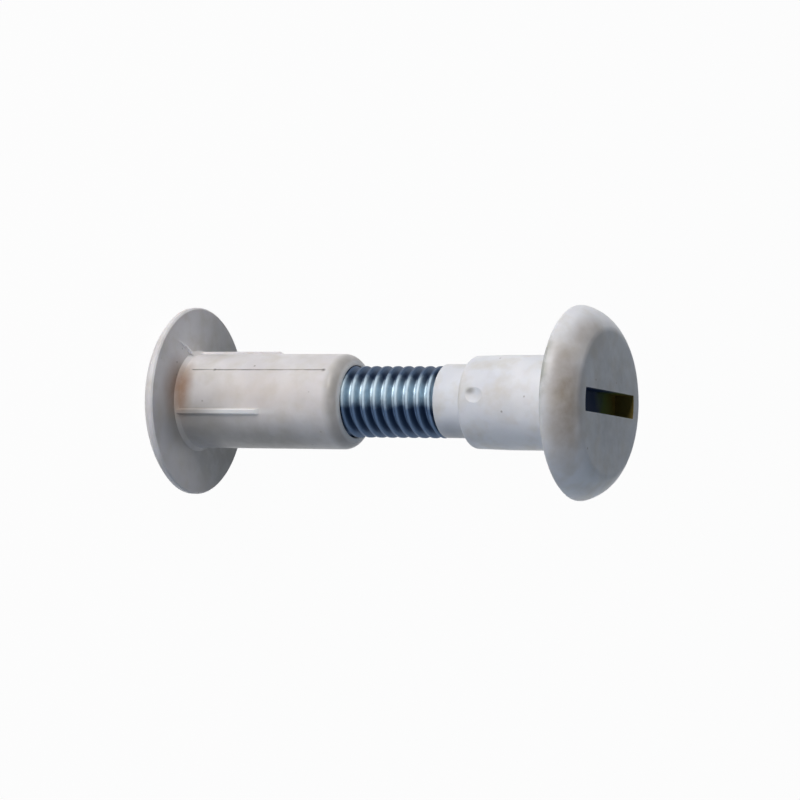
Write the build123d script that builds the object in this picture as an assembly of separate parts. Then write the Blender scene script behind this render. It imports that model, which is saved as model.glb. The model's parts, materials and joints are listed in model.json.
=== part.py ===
from build123d import *
import os

# Binding barrel screw, a two-part furniture connector, standing on the nut's head.
# Z runs along the screw from the nut's head to the screw's head, and the origin is the
# bottom centre of the whole object. Angles turn about Z from the -Y side towards -X.
# Each piece is drawn in its place round the Z axis. Millimetres.

# Thread: M6, drawn as a plain stud in a plain bore.
thread_diameter = 6.0
thread_clearance = 0.05  # radial gap between stud and bore
stud_chamfer = 0.6

# Barrel nut.
nut_head_diameter = 15.9
nut_head_height = 1.8
nut_rim_height = 0.45
nut_rim_bevel = 0.12
nut_flat_diameter = 10.0
sleeve_diameter = 8.0
sleeve_length = 15.15
sleeve_root_bevel = 0.3
mouth_round_length = 1.05
mouth_lip = 0.05  # flat ring left round the bore

# Ribs on the sleeve that grip the drilled panel: two beside the parting line, one opposite it.
rib_spread = 53.4  # angle from the parting line to the ribs beside it
rib_height = 0.2
rib_width = 0.42
rib_length = 8.0
rib_end_slope = 0.35
rib_crest_round = 0.08

# Parting line of the nut's mould, a hairline groove along the sleeve.
parting_angle = 41.9
parting_width = 0.14
parting_depth = 0.07
parting_start = 1.0
parting_end = 13.6

# Moulded jacket of the screw.
jacket_head_diameter = 15.9
jacket_head_height = 2.8
jacket_rim_height = 0.3
jacket_rim_bevel = 0.15
jacket_flat_diameter = 12.0
jacket_side_bulge = 0.36
jacket_crown_height = 0.1
jacket_crown_round = 1.0
shoulder_diameter = 7.8
shoulder_length = 9.2
shoulder_root_bevel = 0.25
shoulder_front_round = 0.3
shoulder_draft = 0.08  # the shoulder's front end is this much smaller in radius
shoulder_draft_length = 3.0
collar_diameter = 6.12
collar_length = 2.55
collar_shift = 0.1  # the collar is moulded this much off the steel's axis, towards -X

# Small dent in the shoulder, behind its front edge.
dent_from_front = 1.5
dent_angle = 10.0
dent_width = 1.7
dent_depth = 0.2

# Slotted steel screw inside the jacket.
steel_head_diameter = 9.7
steel_head_height = 1.8
steel_head_cover = 0.5  # plastic over the steel head
steel_slot_depth = 1.2
shank_diameter = 5.3
slot_width = 1.9
slot_angle = 4.8  # of the slot's -Y end, towards -X

# How far the screw is turned in.
thread_showing = 8.6
thread_engaged = 6.4
tip_gap = 0.3  # left under the stud when the collar meets the nut's mouth

# Heights along Z.
nut_seat = nut_head_height
sleeve_mouth = nut_seat + sleeve_length
collar_start = sleeve_mouth + thread_showing
shoulder_start = collar_start + collar_length
jacket_seat = shoulder_start + shoulder_length
jacket_top = jacket_seat + jacket_head_height
steel_head_top = jacket_top - steel_head_cover
steel_head_seat = steel_head_top - steel_head_height
slot_floor = steel_head_top - steel_slot_depth
stud_tip = sleeve_mouth - thread_engaged
bore_floor = stud_tip - thread_showing - tip_gap

bore_radius = thread_diameter / 2 + thread_clearance
sleeve_radius = sleeve_diameter / 2
shoulder_radius = shoulder_diameter / 2


def turned(edges, rounds=(), bevels=()):
    """Solid made by turning a closed outline about the Z axis.

    The edges are drawn in (radius, height). Rounds and bevels are (corner, size) pairs.
    """
    outline = make_face(Curve() + list(edges))
    for corner, size in rounds:
        outline = fillet(nearest_corner(outline, corner), size)
    for corner, size in bevels:
        outline = chamfer(nearest_corner(outline, corner), size)
    return revolve(Plane.XZ * outline, Axis.Z)


def nearest_corner(outline, point):
    """The corner of a flat outline that lies at a point."""
    return outline.vertices().sort_by_distance(Vector(*point))[0]


def rod(start, end, diameter):
    """Upright cylinder between two heights."""
    return Pos(0, 0, start) * extrude(Circle(diameter / 2), end - start)


def at_angle(shape, angle):
    """Turn a shape made on the -Y side towards -X by an angle."""
    return Rotation(0, 0, -angle) * shape


def nut_body():
    """Disc head with a flat outer face, and plain sleeve with a rounded mouth."""
    rim = nut_head_diameter / 2
    flat_edge = (nut_flat_diameter / 2, 0)
    rim_edge = (rim, nut_seat - nut_rim_height)
    rim_corner = (rim, nut_seat)
    root = (sleeve_radius, nut_seat)
    wall_end = (sleeve_radius, sleeve_mouth - mouth_round_length)
    lip = (bore_radius + mouth_lip, sleeve_mouth)
    side = TangentArc(flat_edge, rim_edge, tangent=(1, 0))
    wall = Polyline(rim_edge, rim_corner, root, wall_end)
    mouth = TangentArc(wall_end, lip, tangent=(0, 1))
    rest = Polyline(lip, (0, sleeve_mouth), (0, 0), flat_edge)
    return turned(
        [side, wall, mouth, rest], bevels=[(rim_corner, nut_rim_bevel), (root, sleeve_root_bevel)],
    )


def grip_rib(angle):
    """One rib along the sleeve, starting inside the head and sloping down at its end.

    It is drawn on the +X side, a quarter turn short of the -Y side.
    """
    start = nut_seat - nut_rim_height / 2
    end = nut_seat + rib_length
    base = sleeve_radius - rib_height
    crest = sleeve_radius + rib_height
    side = make_face(Polyline(
        (base, start), (crest, start), (crest, end - rib_end_slope), (sleeve_radius, end),
        (base, end), (base, start),
    ))
    rib = extrude(Plane.XZ * side, rib_width / 2, both=True)
    crest_edges = [
        edge for edge in rib.edges().filter_by(Axis.Z)
        if abs(edge.center().X - crest) < 0.01
    ]
    return at_angle(fillet(crest_edges, rib_crest_round), angle + 90)


def parting_groove():
    """Hairline groove of the mould's parting line."""
    bar = Box(parting_width, parting_depth * 2, parting_end - parting_start)
    middle = nut_seat + (parting_start + parting_end) / 2
    return at_angle(Pos(0, -sleeve_radius, middle) * bar, parting_angle)


def barrel_nut():
    nut = nut_body()
    for from_parting_line in (-rib_spread, rib_spread, 180):
        nut += grip_rib(parting_angle + from_parting_line)
    nut -= parting_groove()
    return nut - rod(bore_floor, sleeve_mouth + 1, bore_radius * 2)


def slot_blade(floor, top):
    """Space of the driver slot between two heights, with ends on the steel head's rim."""
    width = Box(slot_width, steel_head_diameter * 2, top - floor)
    blade = at_angle(Pos(0, 0, (floor + top) / 2) * width, slot_angle)
    return blade & rod(floor, top, steel_head_diameter)


def steel_blank():
    """The steel screw before its slot is cut, which is also the hollow in the jacket."""
    stud = rod(stud_tip, collar_start, thread_diameter)
    stud = chamfer(stud.edges().group_by(Axis.Z)[0], stud_chamfer)
    shank = rod(collar_start, steel_head_seat, shank_diameter)
    head = rod(steel_head_seat, steel_head_top, steel_head_diameter)
    return stud + shank + head


def threaded_core():
    return steel_blank() - slot_blade(slot_floor, steel_head_top + 1)


def jacket_head():
    """Shoulder and raised round head, with a nearly flat top."""
    rim = jacket_head_diameter / 2
    crown_edge = (jacket_flat_diameter / 2, jacket_top - jacket_crown_height)
    rim_edge = (rim, jacket_seat + jacket_rim_height)
    rim_corner = (rim, jacket_seat)
    root = (shoulder_radius, jacket_seat)
    front = (shoulder_radius - shoulder_draft, shoulder_start)
    crown = TangentArc((0, jacket_top), crown_edge, tangent=(1, 0))
    side = SagittaArc(rim_edge, crown_edge, -jacket_side_bulge)
    rest = Polyline(
        rim_edge, rim_corner, root, (shoulder_radius, shoulder_start + shoulder_draft_length),
        front, (0, shoulder_start), (0, jacket_top),
    )
    return turned(
        [crown, side, rest],
        rounds=[(crown_edge, jacket_crown_round), (front, shoulder_front_round)],
        bevels=[(rim_corner, jacket_rim_bevel), (root, shoulder_root_bevel)],
    )


def jacket_collar():
    """Thin collar round the shank, reaching into the shoulder."""
    return Pos(-collar_shift, 0, 0) * rod(collar_start, shoulder_start + shoulder_front_round, collar_diameter)


def dent():
    """Ball that leaves the shoulder's dent."""
    ball = (dent_width ** 2 / 4 + dent_depth ** 2) / (2 * dent_depth)
    reach = shoulder_radius - dent_depth + ball
    return at_angle(Pos(0, -reach, shoulder_start + dent_from_front) * Sphere(ball), dent_angle)


def screw_jacket():
    jacket = jacket_head() + jacket_collar()
    jacket -= steel_blank()
    jacket -= slot_blade(steel_head_top, jacket_top + 1)
    return jacket - dent()


pieces = {
    "barrel_nut": barrel_nut(),
    "threaded_core": threaded_core(),
    "screw_jacket": screw_jacket(),
}

os.makedirs("parts", exist_ok=True)
for name, piece in pieces.items():
    export_step(piece, f"parts/{name}.step")
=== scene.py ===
import json
import math

import bmesh
import bpy
from mathutils import Matrix, Vector


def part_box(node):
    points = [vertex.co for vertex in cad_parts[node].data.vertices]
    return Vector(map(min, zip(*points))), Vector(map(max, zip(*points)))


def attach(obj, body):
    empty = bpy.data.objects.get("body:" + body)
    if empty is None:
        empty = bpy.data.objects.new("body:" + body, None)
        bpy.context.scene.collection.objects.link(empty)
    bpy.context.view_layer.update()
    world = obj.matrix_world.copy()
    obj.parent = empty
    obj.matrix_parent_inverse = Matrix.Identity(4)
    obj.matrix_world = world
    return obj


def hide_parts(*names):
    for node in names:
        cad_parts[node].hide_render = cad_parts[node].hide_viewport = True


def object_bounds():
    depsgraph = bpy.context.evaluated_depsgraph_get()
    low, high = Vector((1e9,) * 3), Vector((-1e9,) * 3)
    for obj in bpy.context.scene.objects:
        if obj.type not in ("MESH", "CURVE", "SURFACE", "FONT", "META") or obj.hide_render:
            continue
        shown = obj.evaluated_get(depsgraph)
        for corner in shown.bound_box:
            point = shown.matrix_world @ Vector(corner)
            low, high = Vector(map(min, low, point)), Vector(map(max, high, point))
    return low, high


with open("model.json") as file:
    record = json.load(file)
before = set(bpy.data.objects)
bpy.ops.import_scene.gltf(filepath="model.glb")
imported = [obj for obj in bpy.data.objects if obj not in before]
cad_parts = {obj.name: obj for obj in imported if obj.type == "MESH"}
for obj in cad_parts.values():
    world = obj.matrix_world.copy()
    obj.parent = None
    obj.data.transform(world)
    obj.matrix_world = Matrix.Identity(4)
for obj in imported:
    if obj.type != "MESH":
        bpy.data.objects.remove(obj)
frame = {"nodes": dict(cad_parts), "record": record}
cad_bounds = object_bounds()

# ---------------------------------------------------------------------------------------
# Barrel nut. One nylon moulding: a disc head, a sleeve with three grip ribs and a mould
# line along it, and an M6 thread inside. Years in a cabinet have left it a little beige along
# its open side. It is brown at the sleeve's foot, with painted shade in the mould line.
# ---------------------------------------------------------------------------------------
MM = 0.001
mounts = {mount["name"]: mount for mount in frame["record"]["mounts"]}
nut_seat = mounts["nut_head_seat"]["pos_m"][2] / MM
sleeve_radius = mounts["nut_sleeve"]["dims"]["r_mm"]
sleeve_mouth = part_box("barrel_nut")[1].z / MM
bore_radius = 3.05
thread_pitch = 1.0
tolerance = 0.02  # millimetres, for telling a wall from what lies beyond it
mould_line_angle = math.radians(41.9)  # angles turn from the -Y side towards -X
mould_line_width = 0.14
mould_line_ends = (nut_seat + 1.0, nut_seat + 13.6)
mould_line_inside = bore_radius + 0.5
near_rib_angle = math.radians(-11.5)
rib_crest_radius = sleeve_radius + 0.2

nut_white, nut_cloudy = "#f1eeef", "#e2dee0"
foot_brown = "#94735a"
aged_grey = "#d6d0c6"
aged_beige = "#d9c6b4"
# Grey for painted shade: the sleeve's foot, its side turned away, the head's face, the mouth, under the near
# rib and the dent.
painted_shade_grey = "#8e8a84"
# Painted shade in the mould line and its two dark dots.
mould_line_shade = "#77726e"
speck_brown = "#7d7266"
# White for painted highlights on the lip round the bore and on the near rib.
painted_highlight_white = "#ffffff"


def linear(colour):
    """An sRGB hex colour as the linear RGBA that shaders use."""
    channels = [int(colour[i:i + 2], 16) / 255 for i in (1, 3, 5)]
    return tuple(c / 12.92 if c <= 0.04045 else ((c + 0.055) / 1.055) ** 2.4 for c in channels) + (1,)


def add_node(tree, kind, links=None, **settings):
    """Add a shader node. Links maps its sockets to values or to other nodes' outputs."""
    node = tree.nodes.new("ShaderNode" + kind)
    for name, value in settings.items():
        setattr(node, name, value)
    for socket, value in (links or {}).items():
        if isinstance(value, bpy.types.NodeSocket):
            tree.links.new(value, node.inputs[socket])
        else:
            node.inputs[socket].default_value = value
    return node


def new_material(name):
    """A material with its node tree, its main shader and the surface point in millimetres."""
    material = bpy.data.materials.new(name)
    material.use_nodes = True
    tree = material.node_tree
    place = add_node(tree, "TexCoord").outputs["Object"]
    in_mm = add_node(tree, "VectorMath", {0: place, 1: (1 / MM,) * 3}, operation="MULTIPLY").outputs[0]
    return material, tree, tree.nodes["Principled BSDF"], in_mm


def around(angle, radius, height):
    """A point in millimetres, at an angle from the -Y side towards -X."""
    return (-radius * math.sin(angle), -radius * math.cos(angle), height)


def on_sleeve(degrees, height):
    """A point on the sleeve's wall, at a height over the head's seat."""
    return around(math.radians(degrees), sleeve_radius, nut_seat + height)


def stain(centre, reach, tint, strength, patchiness):
    """A soft mark round a point, as a function that paints it over a colour.

    Reach is its half size along X, Y and Z, strength how much it covers in its middle, and
    patchiness how far blotches thin it.
    """
    def paint(tree, in_mm, colour):
        away = add_node(tree, "VectorMath", {0: in_mm, 1: centre}, operation="SUBTRACT").outputs[0]
        scaled = add_node(tree, "VectorMath", {0: away, 1: reach}, operation="DIVIDE").outputs[0]
        distance = add_node(tree, "VectorMath", {0: scaled}, operation="LENGTH").outputs["Value"]
        near = add_node(
            tree, "MapRange", {"Value": distance, "From Min": 0.1, "To Min": strength, "To Max": 0.0},
            interpolation_type="SMOOTHSTEP",
        ).outputs[0]
        blotch = add_node(tree, "TexNoise", {"Vector": in_mm, "Scale": 0.7, "Detail": 4.0}).outputs["Fac"]
        patchy = add_node(
            tree, "MapRange", {"Value": blotch, "From Min": 0.35, "From Max": 0.6, "To Min": 1 - patchiness},
        ).outputs[0]
        amount = add_node(tree, "Math", {0: near, 1: patchy}, operation="MULTIPLY").outputs[0]
        return add_node(
            tree, "Mix", {0: amount, 6: colour, 7: linear(tint)}, data_type="RGBA",
        ).outputs[2]
    return paint


def mould_line(tree, in_mm, colour):
    """Painted shade in the hairline groove where the halves of the mould met, broken up here and there."""
    across = (math.cos(mould_line_angle), -math.sin(mould_line_angle), 0)
    outwards = (-math.sin(mould_line_angle), -math.cos(mould_line_angle), 0)
    aside = add_node(tree, "VectorMath", {0: in_mm, 1: across}, operation="DOT_PRODUCT").outputs["Value"]
    aside = add_node(tree, "Math", {0: aside}, operation="ABSOLUTE").outputs[0]
    line = add_node(
        tree, "MapRange",
        {"Value": aside, "From Min": mould_line_width * 0.3, "From Max": mould_line_width * 0.7,
         "To Min": 0.4, "To Max": 0.0},
    ).outputs[0]
    outward = add_node(tree, "VectorMath", {0: in_mm, 1: outwards}, operation="DOT_PRODUCT").outputs["Value"]
    height = add_node(tree, "SeparateXYZ", {0: in_mm}).outputs["Z"]
    wear = add_node(tree, "TexNoise", {"Vector": in_mm, "Scale": 0.9, "Detail": 2.0}).outputs["Fac"]
    patchy = add_node(
        tree, "MapRange", {"Value": wear, "From Min": 0.4, "From Max": 0.6, "To Min": 0.3},
    ).outputs[0]
    line = add_node(tree, "Math", {0: line, 1: patchy}, operation="MULTIPLY").outputs[0]
    start, end = mould_line_ends
    for value, limit, test in [
        (outward, mould_line_inside, "GREATER_THAN"),
        (height, start, "GREATER_THAN"),
        (height, end, "LESS_THAN"),
    ]:
        inside = add_node(tree, "Math", {0: value, 1: limit}, operation=test).outputs[0]
        line = add_node(tree, "Math", {0: line, 1: inside}, operation="MULTIPLY").outputs[0]
    return add_node(tree, "Mix", {0: line, 6: colour, 7: linear(mould_line_shade)}, data_type="RGBA").outputs[2]


def moulded_nylon(name, white, cloudy_white, marks):
    """Polyamide straight from the mould: off-white, slightly translucent, satin, faintly uneven."""
    material, tree, shader, in_mm = new_material(name)
    cloud = add_node(tree, "TexNoise", {"Vector": in_mm, "Scale": 0.22, "Detail": 4.0}).outputs["Fac"]
    cloudy = add_node(tree, "MapRange", {"Value": cloud, "From Min": 0.35, "From Max": 0.65}).outputs[0]
    colour = add_node(
        tree, "Mix", {0: cloudy, 6: linear(white), 7: linear(cloudy_white)}, data_type="RGBA",
    ).outputs[2]
    mottle = add_node(tree, "TexNoise", {"Vector": in_mm, "Scale": 0.55, "Detail": 3.0}).outputs["Fac"]
    aged = add_node(
        tree, "MapRange", {"Value": mottle, "From Min": 0.45, "From Max": 0.7, "To Max": 0.55},
    ).outputs[0]
    colour = add_node(
        tree, "Mix", {0: aged, 6: colour, 7: linear(aged_grey)}, data_type="RGBA",
    ).outputs[2]
    for paint in marks:
        colour = paint(tree, in_mm, colour)

    # The cells are about 1.2 mm wide, and about a third of them hold a speck 0.2 mm across.
    cells = add_node(tree, "TexVoronoi", {"Vector": in_mm, "Scale": 0.8})
    chosen = add_node(tree, "Math", {0: cells.outputs["Color"], 1: 0.6}, operation="GREATER_THAN").outputs[0]
    speck = add_node(
        tree, "MapRange",
        {"Value": cells.outputs["Distance"], "From Min": 0.04, "From Max": 0.1, "To Min": 0.6, "To Max": 0.0},
    ).outputs[0]
    speck = add_node(tree, "Math", {0: speck, 1: chosen}, operation="MULTIPLY").outputs[0]
    colour = add_node(
        tree, "Mix", {0: speck, 6: colour, 7: linear(speck_brown)}, data_type="RGBA",
    ).outputs[2]
    tree.links.new(colour, shader.inputs["Base Color"])

    rub = add_node(tree, "TexNoise", {"Vector": in_mm, "Scale": 1.3, "Detail": 5.0}).outputs["Fac"]
    roughness = add_node(tree, "MapRange", {"Value": rub, "To Min": 0.3, "To Max": 0.46}).outputs[0]
    tree.links.new(roughness, shader.inputs["Roughness"])
    # The mould's real grain is a few hundredths of a millimetre, and this one is as fine as shows.
    grain = add_node(tree, "TexNoise", {"Vector": in_mm, "Scale": 7.0, "Detail": 3.0}).outputs["Fac"]
    fine = add_node(tree, "Bump", {"Strength": 0.4, "Distance": 0.014 * MM, "Height": grain}).outputs[0]
    waves = add_node(tree, "TexNoise", {"Vector": in_mm, "Scale": 0.45, "Detail": 2.0}).outputs["Fac"]
    uneven = add_node(
        tree, "Bump", {"Strength": 0.6, "Distance": 0.14 * MM, "Height": waves, "Normal": fine},
    ).outputs[0]
    tree.links.new(uneven, shader.inputs["Normal"])
    shader.inputs["IOR"].default_value = 1.53
    shader.inputs["Subsurface Weight"].default_value = 0.15
    shader.inputs["Subsurface Radius"].default_value = (1.0, 0.8, 0.6)
    shader.inputs["Subsurface Scale"].default_value = 0.6 * MM
    return material


def thread_the_bore(material):
    """Draw the M6 thread in the bore's wall: one groove in each pitch, climbing right-handed."""
    tree = material.node_tree
    normal_socket = tree.nodes["Principled BSDF"].inputs["Normal"]
    place = add_node(tree, "TexCoord").outputs["Object"]
    parts = add_node(tree, "SeparateXYZ", {0: place}).outputs
    turned_by = add_node(tree, "Math", {0: parts["Y"], 1: parts["X"]}, operation="ARCTAN2").outputs[0]
    climb = add_node(
        tree, "Math", {0: turned_by, 1: -thread_pitch * MM / math.tau, 2: parts["Z"]},
        operation="MULTIPLY_ADD",
    ).outputs[0]
    groove = add_node(tree, "Math", {0: climb, 1: thread_pitch * MM / 2}, operation="PINGPONG").outputs[0]
    flat = add_node(tree, "VectorMath", {0: place, 1: (1, 1, 0)}, operation="MULTIPLY").outputs[0]
    radius = add_node(tree, "VectorMath", {0: flat}, operation="LENGTH").outputs["Value"]
    inside = add_node(
        tree, "Math", {0: radius, 1: (bore_radius + tolerance) * MM}, operation="LESS_THAN",
    ).outputs[0]
    depth = add_node(tree, "Math", {0: groove, 1: inside}, operation="MULTIPLY").outputs[0]
    wall = normal_socket.links[0].from_socket
    bump = add_node(tree, "Bump", {"Strength": 1.0, "Distance": 1.0, "Height": depth, "Normal": wall})
    tree.links.new(bump.outputs[0], normal_socket)


def dress(node, material):
    """Give a CAD node its finish."""
    node.data.materials.clear()
    node.data.materials.append(material)


nut_nylon = moulded_nylon("moulded_nylon_nut", nut_white, nut_cloudy, [
    # Beige where the sleeve faced the open.
    stain(on_sleeve(8, 8), (3.2, 2.6, 9.5), aged_beige, 0.35, 0.3),
    # Painted shade on the foot, on the side turned away, on the head's face and round the mouth.
    stain(on_sleeve(0, 1.5), (4.2, 3.6, 5.5), painted_shade_grey, 0.4, 0.2),
    stain(on_sleeve(-65, 7), (4.2, 4.5, 12.0), painted_shade_grey, 0.85, 0.2),
    stain((1.5, 4.5, nut_seat), (11.5, 9.0, 0.6), painted_shade_grey, 0.9, 0.3),
    stain((-0.5, -2, sleeve_mouth - 0.4), (8.0, 8.0, 1.0), painted_shade_grey, 0.8, 0.2),
    # Painted highlight on the lip round the bore.
    stain((0, 0, sleeve_mouth), (7.0, 7.0, 0.25), painted_highlight_white, 0.9, 0.0),
    # Painted shade under the near rib, and a painted highlight on the rib itself.
    stain(on_sleeve(-30, 1.5), (2.6, 3.0, 6.5), painted_shade_grey, 0.7, 0.1),
    stain(around(near_rib_angle, rib_crest_radius, nut_seat + 6), (0.5, 0.6, 4.5), painted_highlight_white, 0.9, 0.0),
    # Brown at the sleeve's foot, strongest next to the head.
    stain(on_sleeve(16, 0.4), (3.5, 3.0, 1.5), foot_brown, 0.95, 0.2),
    # The mould line's painted shade, with a dark dot near its start and one at its end.
    mould_line,
    stain(
        around(mould_line_angle, sleeve_radius, nut_seat + 3.2), (0.2, 0.2, 0.22), mould_line_shade, 0.8, 0.0,
    ),
    stain(
        around(mould_line_angle, sleeve_radius, mould_line_ends[1]), (0.22, 0.22, 0.3),
        mould_line_shade, 0.9, 0.0,
    ),
])
thread_the_bore(nut_nylon)
dress(frame["nodes"]["barrel_nut"], nut_nylon)

# ---------------------------------------------------------------------------------------
# Flash on the nut. A thin sliver of nylon that squeezed out between the halves of the
# mould. It stands on the head's face, runs outwards from the sleeve's foot, and was torn
# along its crest when the moulding came out.
# ---------------------------------------------------------------------------------------
flash_ends = ((math.radians(69), 4.4), (math.radians(53), 6.6))  # angle and radius
flash_width = 0.32
flash_crest_width = 0.2
flash_height = 0.26
flash_sunk = 0.05
flash_steps = 14
flash_taper = 0.85  # share of its section that is gone at the tip
flash_tooth = 0.45  # share of its height that is torn out between two teeth


def new_piece(name, mesh):
    """Put a finished bmesh into the scene as a piece of its own."""
    bmesh.ops.recalc_face_normals(mesh, faces=mesh.faces)
    data = bpy.data.meshes.new(name)
    mesh.to_mesh(data)
    mesh.free()
    piece = bpy.data.objects.new(name, data)
    bpy.context.scene.collection.objects.link(piece)
    return piece


def flash_sliver():
    """A closed ridge that thins and sinks towards its tip, with a torn crest of small teeth."""
    foot, tip = (Vector(around(angle, radius, nut_seat - flash_sunk)) for angle, radius in flash_ends)
    aside = (tip - foot).cross(Vector((0, 0, 1))).normalized()
    wide, narrow = aside * flash_width / 2, aside * flash_crest_width / 2
    crest = Vector((0, 0, flash_height + flash_sunk))
    mesh = bmesh.new()
    sections = []
    for step in range(flash_steps + 1):
        share = step / flash_steps
        base = foot.lerp(tip, share)
        full = 1 - flash_taper * share ** 1.5
        torn = crest * full * (1 - flash_tooth * (step % 2))
        bend = wide * math.sin(share * math.pi)
        corners = (
            base - wide * full, base + wide * full, base + narrow * full + torn, base - narrow * full + torn,
        )
        sections.append([mesh.verts.new((corner + bend) * MM) for corner in corners])
    for near, far in zip(sections, sections[1:]):
        for corner in range(len(near)):
            beside = (corner + 1) % len(near)
            mesh.faces.new((near[corner], near[beside], far[beside], far[corner]))
    mesh.faces.new(sections[0])
    mesh.faces.new(sections[-1])
    return new_piece("moulding_flash", mesh)


flash = flash_sliver()
flash.data.materials.append(moulded_nylon("moulded_nylon_flash", nut_white, nut_white, []))
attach(flash, "nut")

# ---------------------------------------------------------------------------------------
# Screw. One piece of steel: an M6 thread rolled on its front end, a plain shank, and a
# round slotted head. It is zinc plated. Painted shade darkens its slot, the roots of the
# thread and the thread's sides, and the front of the thread is left bright.
# ---------------------------------------------------------------------------------------
core_low, core_high = (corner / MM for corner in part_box("threaded_core"))
jacket_low, jacket_high = (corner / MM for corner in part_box("screw_jacket"))
thread_crest_radius = 2.985
thread_root_radius = 2.387
thread_crest_width = 0.2
thread_flank_width = 0.31
thread_phase = 0.8  # where the thread starts, in millimetres along the axis
thread_runout = 0.3
steps_around = 96
steps_per_pitch = 20
weld_distance = 0.0005
shank_radius = 2.65
head_radius = core_high.y
head_height = 1.8
slot_depth = 1.2
slot_width = 1.9
slot_angle = math.radians(4.8)  # of its -Y end, towards -X
slot_across = (math.cos(slot_angle), -math.sin(slot_angle), 0)
# The thread's side at this angle is left bright; painted shade darkens it away from there.
bright_side_angle = math.radians(21)

zinc_bright = "#c3d5e0"
zinc_dull = "#a9bccb"
# Navy painted shade on the thread's sides.
thread_shade_navy = "#3b5170"
# Painted shade in the roots of the thread.
thread_root_shade = "#141c28"
# Painted shade in the slot: blue-black at its -Y end, olive in the middle, brown at the far end.
slot_near = "#1c3050"
slot_middle = "#56662f"
slot_far = "#76652f"


def thread_radius(offset):
    """Radius of the rolled thread at an offset along the axis from the middle of a crest."""
    from_crest = abs((offset / thread_pitch + 0.5) % 1 - 0.5) * thread_pitch
    down = min(max((from_crest - thread_crest_width / 2) / thread_flank_width, 0), 1)
    down = (down + down * down * (3 - 2 * down)) / 2
    return thread_crest_radius - down * (thread_crest_radius - thread_root_radius)


def screw_rings():
    """Rings of (radius, turn, height) up the screw.

    A ring of the thread climbs one pitch in a turn. The tip is bevelled at 45 degrees.
    """
    start, end = core_low.z, jacket_low.z
    step = thread_pitch / steps_per_pitch
    rings = []
    for row in range(round((end - start) / step) + steps_per_pitch + 1):
        ring = []
        for column in range(steps_around + 1):
            turn = column / steps_around
            height = start + (row - steps_per_pitch) * step + turn * thread_pitch
            height = min(max(height, start), end)
            radius = thread_radius(row * step - thread_phase)
            radius = min(radius, thread_root_radius + height - start)
            full = min((end - height) / thread_runout, 1)
            ring.append((shank_radius + (radius - shank_radius) * full, turn, height))
        rings.append(ring)
    head_seat = core_high.z - head_height
    for radius, height in [
        (shank_radius, end), (shank_radius, head_seat), (head_radius, head_seat), (head_radius, core_high.z),
    ]:
        rings.append([(radius, column / steps_around, height) for column in range(steps_around + 1)])
    return rings


def turned_piece(name, rings):
    """A closed piece through rings of (radius, turn, height) points, with flat ends."""
    mesh = bmesh.new()
    grid = [
        [
            mesh.verts.new(Vector((
                radius * math.cos(math.tau * turn), radius * math.sin(math.tau * turn), height,
            )) * MM)
            for radius, turn, height in ring
        ]
        for ring in rings
    ]
    for low, high in zip(grid, grid[1:]):
        for column in range(len(low) - 1):
            mesh.faces.new((low[column], low[column + 1], high[column + 1], high[column]))
    bmesh.ops.remove_doubles(mesh, verts=mesh.verts, dist=weld_distance * MM)
    bmesh.ops.dissolve_degenerate(mesh, edges=mesh.edges, dist=weld_distance * MM)
    open_edges = [edge for edge in mesh.edges if edge.is_boundary]
    bmesh.ops.holes_fill(mesh, edges=open_edges, sides=0)
    return new_piece(name, mesh)


def cut_slot(piece):
    """Cut the driver slot across the head, and leave its faces in the second material."""
    block = bmesh.new()
    size = Matrix.Diagonal((slot_width * MM, head_radius * 3 * MM, slot_depth * 2 * MM, 1))
    place = Matrix.Translation((0, 0, core_high.z * MM)) @ Matrix.Rotation(-slot_angle, 4, "Z")
    bmesh.ops.create_cube(block, size=1, matrix=place @ size)
    cutter = new_piece("slot_cutter", block)
    cut = piece.modifiers.new("slot", "BOOLEAN")
    cut.object = cutter
    cut.solver = "EXACT"
    whole = piece.data
    piece.data = bpy.data.meshes.new_from_object(piece.evaluated_get(bpy.context.evaluated_depsgraph_get()))
    piece.modifiers.clear()
    bpy.data.objects.remove(cutter)
    bpy.data.meshes.remove(whole)
    slot_bottom = (core_high.z - slot_depth - tolerance) * MM
    for face in piece.data.polygons:
        in_slot = abs(face.center.dot(Vector(slot_across))) < (slot_width / 2 + tolerance) * MM
        face.material_index = int(in_slot and slot_bottom < face.center.z < core_high.z * MM)


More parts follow.
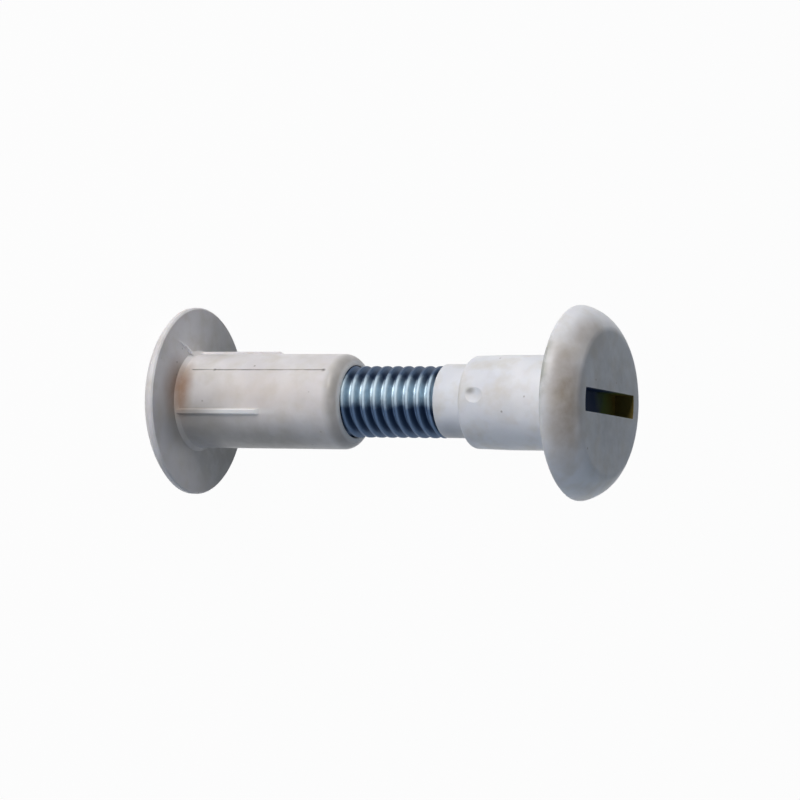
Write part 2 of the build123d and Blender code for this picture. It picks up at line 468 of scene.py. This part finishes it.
def zinc_plate():
    """Bright zinc plate on rolled steel: bluish and half glossy, with painted shade in navy on the thread's
    sides away from the front and in its roots.
    """
    material, tree, shader, in_mm = new_material("zinc_plated_steel")
    cloud = add_node(tree, "TexNoise", {"Vector": in_mm, "Scale": 1.6, "Detail": 5.0}).outputs["Fac"]
    cloudy = add_node(tree, "MapRange", {"Value": cloud, "From Min": 0.35, "From Max": 0.65}).outputs[0]
    plate = add_node(
        tree, "Mix", {0: cloudy, 6: linear(zinc_bright), 7: linear(zinc_dull)}, data_type="RGBA",
    ).outputs[2]
    flat = add_node(tree, "VectorMath", {0: in_mm, 1: (1, 1, 0)}, operation="MULTIPLY").outputs[0]
    outward = add_node(tree, "VectorMath", {0: flat}, operation="NORMALIZE").outputs[0]
    towards = add_node(
        tree, "VectorMath", {0: outward, 1: around(bright_side_angle, 1, 0)}, operation="DOT_PRODUCT",
    ).outputs["Value"]
    streaked = add_node(tree, "Math", {0: cloud, 1: 0.2, 2: towards}, operation="MULTIPLY_ADD").outputs[0]
    # Painted shade in navy, growing away from the bright front.
    shaded_sides = add_node(
        tree, "MapRange",
        {"Value": streaked, "From Min": 0.93, "From Max": 1.1, "To Min": 0.94, "To Max": 0.0},
        interpolation_type="SMOOTHSTEP",
    ).outputs[0]
    colour = add_node(
        tree, "Mix", {0: shaded_sides, 6: plate, 7: linear(thread_shade_navy)}, data_type="RGBA",
    ).outputs[2]
    radius = add_node(tree, "VectorMath", {0: flat}, operation="LENGTH").outputs["Value"]
    # Painted shade in the thread's roots.
    deep = add_node(
        tree, "MapRange",
        {"Value": radius, "From Min": thread_root_radius + 0.1, "From Max": thread_crest_radius - 0.05,
         "To Min": 0.25, "To Max": 0.0},
    ).outputs[0]
    colour = add_node(tree, "Mix", {0: deep, 6: colour, 7: linear(thread_root_shade)}, data_type="RGBA").outputs[2]
    tree.links.new(colour, shader.inputs["Base Color"])
    roughness = add_node(tree, "MapRange", {"Value": cloud, "To Min": 0.32, "To Max": 0.48}).outputs[0]
    tree.links.new(roughness, shader.inputs["Roughness"])
    rolled = add_node(tree, "VectorMath", {0: in_mm, 1: (1.0, 1.0, 6.0)}, operation="MULTIPLY").outputs[0]
    scratches = add_node(tree, "TexNoise", {"Vector": rolled, "Scale": 3.0, "Detail": 4.0}).outputs["Fac"]
    bump = add_node(tree, "Bump", {"Strength": 0.4, "Distance": 0.02 * MM, "Height": scratches}).outputs[0]
    tree.links.new(bump, shader.inputs["Normal"])
    shader.inputs["Metallic"].default_value = 1.0
    return material


def slot_shade_colour(tree, in_mm):
    """Painted shade along the driver slot: blue-black at its -Y end, olive, then brown."""
    along = add_node(tree, "SeparateXYZ", {0: in_mm}).outputs["Y"]
    patches = add_node(tree, "TexNoise", {"Vector": in_mm, "Scale": 0.8, "Detail": 4.0}).outputs["Fac"]
    moved = add_node(tree, "Math", {0: patches, 1: 2.0, 2: along}, operation="MULTIPLY_ADD").outputs[0]
    share = add_node(tree, "MapRange", {"Value": moved, "From Min": 1.6, "From Max": 5.8}).outputs[0]
    ramp = add_node(tree, "ValToRGB", {"Fac": share})
    stops = ramp.color_ramp.elements
    stops[0].color, stops[1].color = linear(slot_near), linear(slot_far)
    stops.new(0.5).color = linear(slot_middle)
    return ramp.outputs["Color"]


def slot_shade():
    """Painted shade in the slot: dark and almost matt."""
    material, tree, shader, in_mm = new_material("painted_slot_shade")
    tree.links.new(slot_shade_colour(tree, in_mm), shader.inputs["Base Color"])
    patches = add_node(tree, "TexNoise", {"Vector": in_mm, "Scale": 1.1, "Detail": 4.0}).outputs["Fac"]
    roughness = add_node(tree, "MapRange", {"Value": patches, "To Min": 0.5, "To Max": 0.85}).outputs[0]
    tree.links.new(roughness, shader.inputs["Roughness"])
    shader.inputs["Specular IOR Level"].default_value = 0.15
    return material


screw = turned_piece("slotted_screw", screw_rings())
cut_slot(screw)
screw.data.shade_smooth()
screw.data.set_sharp_from_angle(angle=math.radians(50))
screw.data.materials.append(zinc_plate())
screw.data.materials.append(slot_shade())
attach(screw, "screw")
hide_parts("threaded_core")

# ---------------------------------------------------------------------------------------
# Jacket of the screw. One nylon moulding, cast round the steel: a raised head with the
# slot's window, the shoulder that fits the panel's hole, and a thin collar. Its head's side is
# tan and greenish grey under the rim, with painted shade in its window and dent, on its top
# and on the collar's far side.
# ---------------------------------------------------------------------------------------
jacket_seat = mounts["screw_head_seat"]["pos_m"][2] / MM
shoulder_radius = mounts["screw_shoulder"]["dims"]["r_mm"]
jacket_radius = jacket_high.y
collar_radius = 3.06
jacket_white, jacket_cloudy = "#f1f2f6", "#e6e8ef"
head_side_tan = "#8d7d6a"
# Painted shade on the collar's far side and on the head's top.
shade_blue_grey = "#868d94"
under_rim_grey = "#85897c"


def window_shade(tree, in_mm, colour):
    """Painted shade on the walls of the slot's window, the same as in the slot below it."""
    aside = add_node(tree, "VectorMath", {0: in_mm, 1: slot_across}, operation="DOT_PRODUCT").outputs["Value"]
    aside = add_node(tree, "Math", {0: aside}, operation="ABSOLUTE").outputs[0]
    flat = add_node(tree, "VectorMath", {0: in_mm, 1: (1, 1, 0)}, operation="MULTIPLY").outputs[0]
    radius = add_node(tree, "VectorMath", {0: flat}, operation="LENGTH").outputs["Value"]
    height = add_node(tree, "SeparateXYZ", {0: in_mm}).outputs["Z"]
    dirty = add_node(
        tree, "Math", {0: aside, 1: slot_width / 2 + tolerance}, operation="LESS_THAN",
    ).outputs[0]
    for value, limit, test in [
        (radius, head_radius + tolerance, "LESS_THAN"),
        (height, core_high.z - slot_depth, "GREATER_THAN"),
    ]:
        inside = add_node(tree, "Math", {0: value, 1: limit}, operation=test).outputs[0]
        dirty = add_node(tree, "Math", {0: dirty, 1: inside}, operation="MULTIPLY").outputs[0]
    return add_node(
        tree, "Mix", {0: dirty, 6: colour, 7: slot_shade_colour(tree, in_mm)}, data_type="RGBA",
    ).outputs[2]


jacket_nylon = moulded_nylon("moulded_nylon_jacket", jacket_white, jacket_cloudy, [
    # Beige on the shoulder.
    stain(around(0, shoulder_radius, jacket_seat - 4), (2.8, 2.4, 6.0), aged_beige, 0.12, 0.3),
    # Tan on the head's side, and greenish grey blotches under its rim.
    stain(
        around(math.radians(4), jacket_radius - 1.0, jacket_seat + 1.9), (11.0, 3.4, 2.6),
        head_side_tan, 0.85, 0.25,
    ),
    stain(around(math.radians(20), jacket_radius, jacket_seat + 0.2), (5.5, 5.0, 0.6), under_rim_grey, 0.6, 0.9),
    stain(
        around(math.radians(60), jacket_radius - 1.6, jacket_seat + 2.3), (3.4, 4.0, 1.6),
        head_side_tan, 0.6, 0.2,
    ),
    # Painted shade in the upper edge of the dent, which lies 4.05 mm behind the collar's front.
    stain(
        around(math.radians(15), shoulder_radius, jacket_low.z + 3.7), (0.45, 0.45, 0.6),
        painted_shade_grey, 0.75, 0.2,
    ),
    # Painted shade on the collar's side turned away, and on the top.
    stain(
        around(math.radians(-75), collar_radius, jacket_low.z + 1.3), (2.8, 2.8, 2.4),
        shade_blue_grey, 0.6, 0.1,
    ),
    stain((0, 0, jacket_high.z), (10.0, 10.0, 0.9), shade_blue_grey, 0.58, 0.3),
    window_shade,
])
dress(frame["nodes"]["screw_jacket"], jacket_nylon)

# ---------------------------------------------------------------------------------------
# Studio. A pale floor without a horizon, a wide soft lamp on one side, a weak one on the
# other and a pale sky, darker overhead. The floor keeps a faint shadow.
# ---------------------------------------------------------------------------------------
floor_size = 6.0
floor_grey = "#e6e6e6"
shadow_kept = 0.03
sky_blue = "#b6cee6"
sky_strengths = (0.27, 0.09)  # at the horizon and overhead
lamp_distance = 0.4


def seen_directly(tree):
    """1 for a ray from the camera, or one that it sees in metal or glass."""
    path = add_node(tree, "LightPath")
    seen = add_node(
        tree, "Math", {0: path.outputs["Is Camera Ray"], 1: path.outputs["Is Glossy Ray"]},
        operation="MAXIMUM",
    ).outputs[0]
    return add_node(
        tree, "Math", {0: seen, 1: path.outputs["Is Transmission Ray"]}, operation="MAXIMUM",
    ).outputs[0]


def studio_paper():
    """Pale matt paper, white to the eye apart from the object's shadow."""
    material, tree, shader, in_mm = new_material("white_paper")
    fibres = add_node(tree, "TexNoise", {"Vector": in_mm, "Scale": 0.5, "Detail": 3.0}).outputs["Fac"]
    roughness = add_node(tree, "MapRange", {"Value": fibres, "To Min": 0.85, "To Max": 0.95}).outputs[0]
    tree.links.new(roughness, shader.inputs["Roughness"])
    shader.inputs["Base Color"].default_value = linear(floor_grey)
    white = add_node(tree, "Emission", {"Strength": 1.0}).outputs[0]
    share = add_node(
        tree, "Math", {0: seen_directly(tree), 1: 1 - shadow_kept}, operation="MULTIPLY",
    ).outputs[0]
    mixed = add_node(tree, "MixShader", {0: share, 1: shader.outputs[0], 2: white}).outputs[0]
    tree.links.new(mixed, tree.nodes["Material Output"].inputs["Surface"])
    return material


sheet = bmesh.new()
bmesh.ops.create_grid(sheet, x_segments=1, y_segments=1, size=floor_size / 2)
floor = new_piece("floor", sheet)
floor.data.materials.append(studio_paper())

world = bpy.data.worlds.new("pale_sky")
bpy.context.scene.world = world
world.use_nodes = True
sky = world.node_tree
plain_sky = sky.nodes["Background"]
plain_sky.inputs["Color"].default_value = linear(sky_blue)
upward = add_node(sky, "SeparateXYZ", {0: add_node(sky, "TexCoord").outputs["Generated"]}).outputs["Z"]
low, high = sky_strengths
fading = add_node(sky, "MapRange", {"Value": upward, "To Min": low, "To Max": high}).outputs[0]
sky.links.new(fading, plain_sky.inputs["Strength"])
white_sky = add_node(sky, "Background", {"Strength": 1.0}).outputs[0]
both_skies = add_node(sky, "MixShader", {0: seen_directly(sky), 1: plain_sky.outputs[0], 2: white_sky})
sky.links.new(both_skies.outputs[0], sky.nodes["World Output"].inputs["Surface"])


def soft_lamp(name, azimuth, elevation, size, power, colour):
    """A rectangular softbox that faces the middle of the object."""
    lamp_data = bpy.data.lights.new(name, "AREA")
    lamp_data.shape = "RECTANGLE"
    lamp_data.size, lamp_data.size_y = size
    lamp_data.energy = power
    lamp_data.color = linear(colour)[:3]
    lamp = bpy.data.objects.new(name, lamp_data)
    bpy.context.scene.collection.objects.link(lamp)
    away = Vector(around(azimuth, math.cos(elevation), math.sin(elevation)))
    lamp.location = middle + away * lamp_distance
    lamp.rotation_euler = away.to_track_quat("Z", "Y").to_euler()


middle = (cad_bounds[0] + cad_bounds[1]) / 2
soft_lamp(
    "key_lamp", azimuth=math.radians(48), elevation=math.radians(3.5), size=(0.24, 0.16), power=1.42,
    colour="#fffbf7",
)
soft_lamp(
    "fill_lamp", azimuth=math.radians(-40), elevation=math.radians(1.5), size=(0.2, 0.16), power=0.26,
    colour="#e8f0ff",
)

# ---------------------------------------------------------------------------------------
# Camera. It looks down at the standing screw with a long lens, turned on its side so that
# the screw lies across the picture with its slotted head on the right.
# ---------------------------------------------------------------------------------------
sensor_width = 36.0
focal_length = 165.17475
view_distance = 305.0
view_azimuth = math.radians(26.922)  # from straight across the screw, towards its slotted head
view_height = math.radians(0.6)
look_along, look_above = 19.226, 0.165  # millimetres along the axis from the nut's seat, and off it

target = Vector((-look_above, 0, nut_seat + look_along)) * MM
back = Vector((
    -math.sin(view_height), -math.cos(view_azimuth) * math.cos(view_height),
    math.sin(view_azimuth) * math.cos(view_height),
))
picture_up = (Vector((-1, 0, 0)) - back * Vector((-1, 0, 0)).dot(back)).normalized()
camera_data = bpy.data.cameras.new("camera")
camera_data.sensor_width = sensor_width
camera_data.lens = focal_length
camera_data.clip_start, camera_data.clip_end = 0.01, 20
camera = bpy.data.objects.new("camera", camera_data)
bpy.context.scene.collection.objects.link(camera)
axes = Matrix((picture_up.cross(back), picture_up, back)).transposed()
camera.matrix_world = Matrix.Translation(target + back * view_distance * MM) @ axes.to_4x4()
bpy.context.scene.camera = camera
bpy.context.scene.view_settings.view_transform = "Standard"
